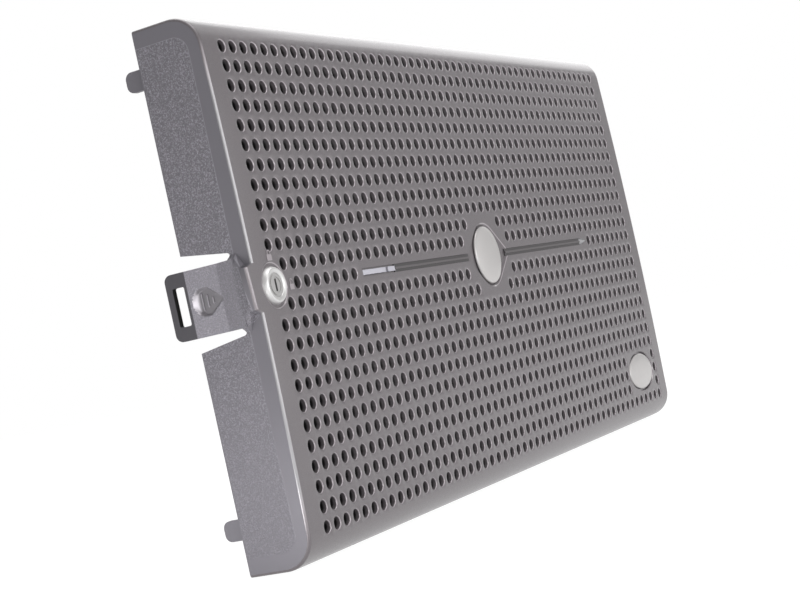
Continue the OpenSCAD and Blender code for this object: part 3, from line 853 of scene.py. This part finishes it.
def tab_moulding(paint, dark, dish_paint_with_highlight):
    """The release tab: its window, and the finger dish with three ribs."""
    bm = bmesh.new()
    low, high, half = TAB_LOW.y, TAB_HIGH.y, (TAB_HIGH.z - TAB_LOW.z) / 2
    r = 3 * MM
    points = [(low, -half)]
    for turn, sign in ((-90, -1), (0, 1)):
        for i in range(9):
            t = math.radians(turn + 11.25 * i)
            points.append((high - r + r * math.cos(t), sign * (half - r) + r * math.sin(t)))
    points.append((low, half))
    prism(bm, points, -2.6 * MM, 0)
    rim = [e for e in bm.edges if all(v.co.z > -1e-6 and v.co.x > low + 1e-6 for v in e.verts)]
    bmesh.ops.bevel(bm, geom=rim, offset=0.3 * MM, segments=2, affect="EDGES", profile=0.5)

    def window(tool):
        w, h, r = (0.8 * MM, 6.1 * MM), 7.85 * MM, 0.8 * MM
        corners = ((w[1] - r, h - r, 0), (w[0] + r, h - r, 90), (w[0] + r, r - h, 180), (w[1] - r, r - h, 270))
        outline = [
            (y + r * math.cos(math.radians(turn + 22.5 * i)), z + r * math.sin(math.radians(turn + 22.5 * i)))
            for y, z, turn in corners
            for i in range(5)
        ]
        prism(tool, outline, -4 * MM, 1 * MM)

    bm = carve(bm, [cutter("window", window)])
    for face in bm.faces:
        y, z, n = face.calc_center_median()
        inside = 0.7 * MM < y < 6.2 * MM and abs(z) < 7.9 * MM
        # the window's inner faces take the near-black moulding: painted shade
        face.material_index = int(inside and n < -0.1 * MM)

    def split(place, axis, keep):
        """Cuts the faces that pass keep along a plane."""
        parts = [f for f in bm.faces if keep(f)]
        geom = parts + list({e for f in parts for e in f.edges}) + list({v for f in parts for v in f.verts})
        plane = Vector((axis == 0, axis == 1, 0))
        bmesh.ops.bisect_plane(bm, geom=geom, dist=1e-7, plane_co=plane * place, plane_no=plane)

    def on_top(f):
        return f.normal.z > 0.9 and f.calc_center_median().z > -1e-6

    def on_dish(f):
        y, z, n = f.calc_center_median()
        return on_top(f) and -16.2 * MM < y < -1.2 * MM and abs(z) < 6.2 * MM

    split(FRONT_Y + 15.5 * MM, 0, lambda f: True)
    for place in (-16.2, -1.2):
        split(place * MM, 0, on_top)
    for place in (-6.2, 6.2):
        split(place * MM, 1, on_top)
    across = [-16 + 0.4 * i for i in range(37)]
    across = [y for y in across if all(abs(y - rib) > 0.5 for rib, _ in RIBS)]
    across += [rib + edge for rib, _ in RIBS for edge in (-0.42, -0.25, 0.25, 0.42)]
    for place in across:
        split(place * MM, 0, on_dish)
    for i in range(31):
        split((-6 + 0.4 * i) * MM, 1, on_dish)
    for face in bm.faces:
        y, z, n = face.calc_center_median()
        if on_top(face) and grip_depth(y / MM, z / MM) > 0.02:
            face.material_index = 2
    for v in bm.verts:
        if v.co.z > -1e-6:
            v.co.z -= grip_depth(v.co.x / MM, v.co.y / MM) * MM
    for v in bm.verts:
        y, h, n = v.co
        v.co = -HALF_W - tab_out(y) - n, y, TAB.z + h
    bmesh.ops.recalc_face_normals(bm, faces=bm.faces)
    smooth(bm, 30)
    piece = new_piece("tab_moulding", bm, [paint, dark, dish_paint_with_highlight], "tab")
    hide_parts("release_tab")
    weigh_normals(piece)


def root_skin(paint):
    """The thin web that hinges the tab: it bends from the pad to the tab."""
    root = TAB_LOW.y - 0.15 * MM
    profile = [(-3.0, -0.06), (-2.2, 0.03), (-1.2, 0.08), (0, 0.10), (1.2, 0.08), (2.2, 0.03), (3.0, -0.06)]
    top = [(root + y * MM, ramp_out(root + y * MM) + out * MM) for y, out in profile]
    under = [(y, out - 0.5 * MM) for y, out in reversed(top)]
    bm = bmesh.new()
    low, high = TAB_LOW.z + 0.02 * MM, TAB_HIGH.z - 0.02 * MM
    face = bm.faces.new([bm.verts.new((-HALF_W - out, y, low)) for y, out in top + under])
    made = bmesh.ops.extrude_face_region(bm, geom=[face])["geom"]
    for v in made:
        if isinstance(v, bmesh.types.BMVert):
            v.co.z = high
    bmesh.ops.recalc_face_normals(bm, faces=bm.faces)
    smooth(bm, 30)
    piece = new_piece("tab_root_skin", bm, [paint], None)
    x = -HALF_W - ramp_out(root)
    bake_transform(piece)


# The badges


def dome(name, node, centre, a, b, paint):
    """A plain badge with a softly domed face."""
    rings = (
        (1, -0.95), (1, -0.35), (0.985, -0.08), (0.955, 0.12),
        (0.88, 0.36), (0.7, 0.64), (0.45, 0.84), (0.2, 0.93),
    )
    bm = bmesh.new()
    count = 96
    loops = []
    for share, n in rings:
        points = ring_points(*centre, a * share, b * share, count)
        loops.append([bm.verts.new(section_point(x, s, n * MM)) for x, s in points])
    for low, high in zip(loops, loops[1:]):
        for i in range(count):
            j = (i + 1) % count
            bm.faces.new((low[i], low[j], high[j], high[i]))
    bm.faces.new(loops[0])
    top = bm.verts.new(section_point(*centre, 0.95 * MM))
    for i in range(count):
        bm.faces.new((loops[-1][i], loops[-1][(i + 1) % count], top))
    bmesh.ops.recalc_face_normals(bm, faces=bm.faces)
    smooth(bm, 50)
    piece = new_piece(name, bm, [paint], "shell")
    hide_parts(node)


# The lock


def lock_ring(plated):
    """The lock's body: a domed ring round the sunk plug, and its barrel."""
    front, end = LOCK_LOW.y, LOCK_HIGH.y
    ring = [
        (4.90, 0.60), (5.05, 0.42), (5.7, 0.18), (6.15, 0.03), (6.5, 0.0), (6.85, 0.12), (7.1, 0.45),
        (7.35, 1.0), (7.6, 1.6), (7.8, 2.1), (6.25, 2.1),
    ]
    outline = [(r * MM, front + y * MM) for r, y in ring]
    outline += [(6.25 * MM, end), (4.9 * MM, end), outline[0]]
    bm = bmesh.new()
    lathe(bm, outline, Vector((LOCK.x, 0, LOCK.z)), Vector((0, 1, 0)), 96)
    bmesh.ops.recalc_face_normals(bm, faces=bm.faces)
    smooth(bm, 40)
    piece = new_piece("lock_ring", bm, [plated], "shell")
    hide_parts("lock_body")


def band(x, s, radius, width, start, end, legs):
    """Outline of a shackle: a bent band with two legs."""
    count = 10
    arc = [math.radians(start + (end - start) * i / count) for i in range(count + 1)]
    outer = [(x + (radius + width) * math.cos(t), s + (radius + width) * math.sin(t)) for t in arc]
    inner = [(x + radius * math.cos(t), s + radius * math.sin(t)) for t in reversed(arc)]
    first, last = legs
    outer = [(outer[0][0], s - first)] + outer + [(outer[-1][0], s - last)]
    inner = [(inner[0][0], s - last)] + inner + [(inner[-1][0], s - first)]
    return outer + inner


def padlock_marks(paint):
    """Two small moulded padlock signs beside the lock, one shut and one open."""
    bm = bmesh.new()
    for x, s, size, lift in ((LOCK.x + 0.2 * MM, 11.4 * MM, 1.0, 0.0), (LOCK.x + 12.7 * MM, -1.3 * MM, 0.9, 0.7)):
        k = size * MM
        left, right, low, high = x - 1.8 * k, x + 1.8 * k, s - 1.5 * k, s + 1.0 * k
        body = [(left, low), (right, low), (right, high), (left, high)]
        prism(bm, body, -0.2 * MM, 0.2 * MM)
        shackle = band(x, s + (1.6 + lift) * k, 0.75 * k, 0.5 * k, 0, 180, ((0.7 - lift) * k, (0.8 + lift) * k))
        prism(bm, shackle, -0.2 * MM, 0.2 * MM)
    for v in bm.verts:
        v.co = section_point(*v.co)
    bmesh.ops.recalc_face_normals(bm, faces=bm.faces)
    new_piece("padlock_marks", bm, [paint], "shell")


# What a user can change


class BezelSettings(bpy.types.PropertyGroup):
    """Colours and light of the bezel."""

    face_colour: FloatVectorProperty(
        name="Face colour", description="Paint of the perforated face", subtype="COLOR", size=3,
        default=(0.143, 0.129, 0.137), min=0, max=1,
    )
    cap_colour: FloatVectorProperty(
        name="End colour", description="Paint of the end walls and the tab", subtype="COLOR", size=3,
        default=(0.165, 0.158, 0.176), min=0, max=1,
    )
    badge_colour: FloatVectorProperty(
        name="Badge colour", description="Metal of the two badges", subtype="COLOR", size=3,
        default=(0.49, 0.475, 0.47), min=0, max=1,
    )
    key_light: FloatProperty(
        name="Key light", description="Power of the main lamp", default=9.0, min=0, max=100, unit="POWER"
    )
    room_light: FloatProperty(
        name="Room light", description="Strength of the light from all round", default=0.55, min=0, max=4
    )


class BEZEL_OT_face(bpy.types.Operator):
    """Builds the perforated face panel"""

    bl_idname = "bezel.face"
    bl_label = "Face panel"

    def execute(self, context):
        colours = context.scene.bezel
        paint = face_paint(colours.face_colour)
        face_shell(paint, grain_paint(colours.cap_colour), bare_moulding_or_shade((0.035, 0.032, 0.034)))
        # the marks share the face's paint; their lighter colour is a painted highlight on their tops
        padlock_marks(plain_plastic("mark_highlight_paint", shade(colours.face_colour, 1.8), 0.35))
        return {"FINISHED"}


class BEZEL_OT_ends(bpy.types.Operator):
    """Finishes the end caps and the release tab"""

    bl_idname = "bezel.ends"
    bl_label = "End caps and tab"

    def execute(self, context):
        paint = grain_paint(context.scene.bezel.cap_colour)
        for node in ("left_end_cap", "right_end_cap"):
            dress(node, paint)
        dish_paint_with_highlight = dish_paint((0.215, 0.205, 0.22))
        # the near-black moulding stands as painted shade in the tab's window
        tab_moulding(paint, bare_moulding_or_shade((0.008, 0.008, 0.008)), dish_paint_with_highlight)
        end_skin("left_end_skin", -1, paint)
        end_skin("right_end_skin", 1, paint)
        root_skin(paint)
        return {"FINISHED"}


class BEZEL_OT_lock(bpy.types.Operator):
    """Finishes the lock and its hidden pieces"""

    bl_idname = "bezel.lock"
    bl_label = "Lock"

    def execute(self, context):
        plated = satin_metal("satin_plating", (0.67, 0.665, 0.66), 0.40)
        core = satin_metal("dull_plating", (0.48, 0.475, 0.47), 0.42)
        steel = satin_metal("zinc_steel", (0.52, 0.52, 0.50), 0.34)
        wafers = satin_metal("wafer_brass", (0.60, 0.42, 0.17), 0.32)
        lock_ring(plated)
        dress("lock_plug", core)
        for node in ("lock_washer", "lock_nut", "lock_cam", "cam_screw", "wafer_springs"):
            dress(node, steel)
        dress("key_wafers", wafers)
        return {"FINISHED"}


class BEZEL_OT_trim(bpy.types.Operator):
    """Finishes the badges, the groove's strips and the two lenses"""

    bl_idname = "bezel.trim"
    bl_label = "Badges and groove"

    def execute(self, context):
        badge = satin_metal("badge_satin", context.scene.bezel.badge_colour, 0.30, metallic=0.6)
        pad = plain_plastic("pad_foam", (0.02, 0.02, 0.02), 0.8)
        strip = groove_paint((0.105, 0.096, 0.100))
        lens = clear_plastic("lens_clear", (0.60, 0.59, 0.66))
        dome("round_badge_dome", "centre_badge", (0, 0), ROUND_HIGH.x, ROUND_HIGH.x, badge)
        middle = OVAL.x, OVAL.z - MID_Z
        dome("oval_badge_dome", "oval_badge", middle, OVAL_HIGH.x - OVAL.x, 10.2 * MM, badge)
        for node in ("centre_badge_pad", "oval_badge_pad"):
            dress(node, pad)
        for node in ("groove_trim_left", "groove_trim_right"):
            dress(node, strip)
        for node in ("indicator_lens", "activity_lens"):
            dress(node, lens)
        return {"FINISHED"}


class BEZEL_OT_screws(bpy.types.Operator):
    """Finishes the screws of the end caps"""

    bl_idname = "bezel.screws"
    bl_label = "Screws"

    def execute(self, context):
        black = satin_metal("black_steel", (0.05, 0.05, 0.052), 0.38)
        for node in ("left_cap_screws", "right_cap_screws"):
            dress(node, black)
        return {"FINISHED"}


class BEZEL_OT_stage(bpy.types.Operator):
    """Sets the floor, the light and the camera"""

    bl_idname = "bezel.stage"
    bl_label = "Stage"

    def execute(self, context):
        scene = context.scene
        settings = scene.bezel
        scene.view_settings.view_transform = "Standard"
        self.floor()
        self.world(scene, settings.room_light)
        key = settings.key_light
        self.lamp("front", (-0.6, -1.3, 0.16), (-0.1, 0, 0.11), (2.4, 0.7), key * 1.9)
        self.lamp("right", (1.15, -1.1, 0.2), (0.05, 0, 0.11), (0.4, 0.6), key * 0.08)
        self.lamp("over", (-0.4, -0.9, 1.4), (0, 0, 0.11), (1.0, 1.0), key * 0.3)
        self.lamp("top", (0.15, -0.1, 1.3), (0, -0.03, 0.2), (1.5, 0.9), key * 1.2)
        self.lamp("beyond", (1.5, 0.3, 0.75), (0.0, -0.03, 0.21), (1.2, 0.9), key * 0.6)
        self.lamp("low", (-0.345, -0.01, 0.012), (-0.22, -0.01, 0.012), (0.1, 0.02), key * 0.01)
        self.camera(scene)
        return {"FINISHED"}

    def floor(self):
        bm = bmesh.new()
        bmesh.ops.create_grid(bm, x_segments=1, y_segments=1, size=6)
        mesh = bpy.data.meshes.new("floor")
        bm.to_mesh(mesh)
        bm.free()
        floor = bpy.data.objects.new("floor", mesh)
        floor.location.z = -0.0005
        bpy.context.scene.collection.objects.link(floor)
        f = Finish("pale_floor")
        f.set(Base_Color=(0.9, 0.9, 0.9, 1), Roughness=0.9, Specular_IOR_Level=0.0)
        mesh.materials.append(f.material)
        # the camera, and reflections, see plain white where no shadow falls
        path = f.tree.nodes.new("ShaderNodeLightPath")
        seen = Signal(f, path.outputs["Is Camera Ray"]) + Signal(f, path.outputs["Is Glossy Ray"])
        glow = f.add("ShaderNodeEmission", {}, {"Color": (1, 1, 1, 1), "Strength": 1.13})
        mixer = f.add(
            "ShaderNodeMixShader", {}, {0: seen * 0.85, 1: Signal(f, f.shader.outputs[0]), 2: glow}
        )
        f.tree.links.new(mixer.socket, f.tree.nodes["Material Output"].inputs[0])

    def world(self, scene, strength):
        world = bpy.data.worlds.new("white_room")
        world.use_nodes = True
        tree = world.node_tree
        background = tree.nodes["Background"]
        background.inputs[0].default_value = (1, 1, 1, 1)
        path = tree.nodes.new("ShaderNodeLightPath")
        rise = tree.nodes.new("ShaderNodeMapRange")
        rise.inputs["To Min"].default_value = strength
        tree.links.new(path.outputs["Is Camera Ray"], rise.inputs["Value"])
        tree.links.new(rise.outputs[0], background.inputs[1])
        scene.world = world

    def lamp(self, name, place, target, size, power):
        light = bpy.data.lights.new(name, "AREA")
        light.shape = "RECTANGLE"
        light.size, light.size_y = size
        light.energy = power
        lamp = bpy.data.objects.new(name, light)
        lamp.location = place
        lamp.visible_camera = False
        lamp.rotation_euler = (Vector(target) - Vector(place)).to_track_quat("-Z", "Y").to_euler()
        bpy.context.scene.collection.objects.link(lamp)

    def camera(self, scene):
        data = bpy.data.cameras.new("camera")
        data.lens = 79.13
        data.sensor_width = 36
        data.clip_start = 0.01
        data.shift_x, data.shift_y = -0.0004, 0.00025
        camera = bpy.data.objects.new("camera", data)
        camera.location = -0.80224, -0.38694, 0.08038
        camera.rotation_euler = [math.radians(turn) for turn in (91.164, 12.494, -62.74)]
        scene.collection.objects.link(camera)
        scene.camera = camera


class BEZEL_PT_panel(bpy.types.Panel):
    """Lists the bezel's pieces"""

    bl_label = "Server bezel"
    bl_idname = "BEZEL_PT_panel"
    bl_space_type = "VIEW_3D"
    bl_region_type = "UI"
    bl_category = "Bezel"

    def draw(self, context):
        settings = context.scene.bezel
        for name in ("face_colour", "cap_colour", "badge_colour", "key_light", "room_light"):
            self.layout.prop(settings, name)
        for operator in OPERATORS:
            self.layout.operator(operator.bl_idname)


OPERATORS = (
    BEZEL_OT_face,
    BEZEL_OT_ends,
    BEZEL_OT_lock,
    BEZEL_OT_trim,
    BEZEL_OT_screws,
    BEZEL_OT_stage,
)
CLASSES = (BezelSettings, *OPERATORS, BEZEL_PT_panel)


def register():
    for cls in CLASSES:
        bpy.utils.register_class(cls)
    bpy.types.Scene.bezel = PointerProperty(type=BezelSettings)


def unregister():
    del bpy.types.Scene.bezel
    for cls in reversed(CLASSES):
        bpy.utils.unregister_class(cls)


def main():
    register()
    for operator in OPERATORS:
        group, name = operator.bl_idname.split(".")
        getattr(getattr(bpy.ops, group), name)()


if __name__ == "__main__":
    main()
